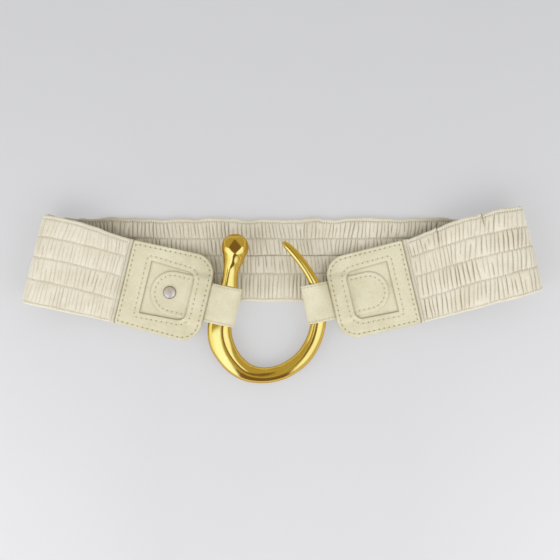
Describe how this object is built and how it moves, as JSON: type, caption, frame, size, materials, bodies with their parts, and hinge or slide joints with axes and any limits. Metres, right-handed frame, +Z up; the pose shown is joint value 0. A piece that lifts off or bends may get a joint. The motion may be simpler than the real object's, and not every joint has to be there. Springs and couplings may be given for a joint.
{
  "type": "waist belt",
  "caption": "Wide gathered leather waist belt lying fastened and flat, with stitched leather tabs and a curved hook buckle with a ball end.",
  "frame": {"origin": "centre of the belt's outline, on the surface that it lies on", "axes": "+X along the folded belt to the buckle's right, +Y from the buckle towards the band's back part, +Z up"},
  "size_m": [0.3824, 0.1318, 0.029],
  "materials": {
    "gathered_leather": "soft cream leather gathered on elastic, satin",
    "tab_leather": "smooth cream leather with a fine grain, satin",
    "gold_metal": "polished gold-coloured cast metal",
    "snap_metal": "polished silver-coloured metal cap"
  },
  "bodies": {
    "root": {"ruched_band": "gathered_leather", "left_tab_frame": "tab_leather", "left_tab_base": "tab_leather", "left_strap": "tab_leather", "left_snap_cap": "snap_metal", "right_tab_frame": "tab_leather", "right_tab_base": "tab_leather", "right_strap": "tab_leather", "hook_buckle": "gold_metal"}
  },
  "joints": []
}
